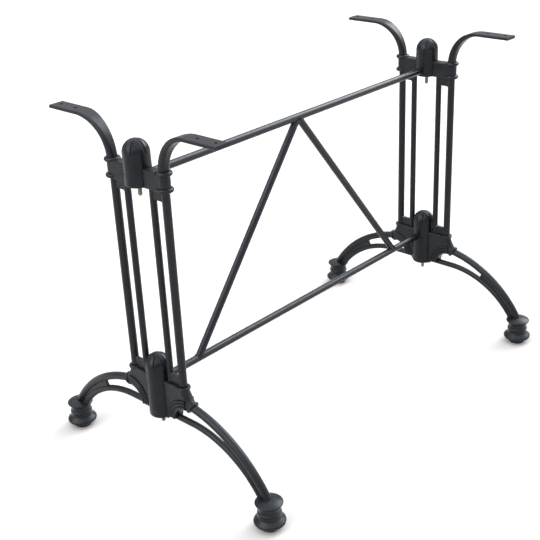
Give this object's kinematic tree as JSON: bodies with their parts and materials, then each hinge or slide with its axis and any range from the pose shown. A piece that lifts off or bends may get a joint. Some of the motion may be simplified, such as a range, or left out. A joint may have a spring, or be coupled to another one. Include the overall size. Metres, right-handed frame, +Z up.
{
  "type": "table base",
  "caption": "Free-standing cast table base: paired leg castings clasped by slotted bullet hubs at each end, joined by a braced stretcher of round tube, with screw plates for a top.",
  "frame": {"origin": "on the floor, midway between the two ends and between front and back feet", "axes": "+X along the stretcher towards the right end, +Y towards the back feet, +Z up"},
  "size_m": [0.941, 0.605, 0.72],
  "materials": {
    "castings": "satin charcoal powder coat",
    "hubs": "satin charcoal powder coat",
    "tubes": "satin charcoal powder coat",
    "studs": "plain zinc plate",
    "rail_nuts": "satin charcoal powder coat",
    "glides": "matt black"
  },
  "bodies": {
    "root": {"leg_casting_left_front": "castings", "leg_casting_left_back": "castings", "leg_casting_right_front": "castings", "leg_casting_right_back": "castings", "upper_hub_left": "hubs", "upper_hub_right": "hubs", "lower_hub_left": "hubs", "lower_hub_right": "hubs", "upper_hub_stud_left": "studs", "upper_hub_stud_right": "studs", "lower_hub_stud_left": "studs", "lower_hub_stud_right": "studs", "hub_clamp_washers": "studs", "hub_nuts": "studs", "top_rail": "tubes", "bottom_rail": "tubes", "brace_left": "tubes", "brace_right": "tubes", "rail_end_plugs": "studs", "rail_end_studs": "studs", "rail_lock_nuts": "rail_nuts", "foot_glide_left_front": "glides", "foot_glide_left_back": "glides", "foot_glide_right_front": "glides", "foot_glide_right_back": "glides"}
  },
  "joints": []
}
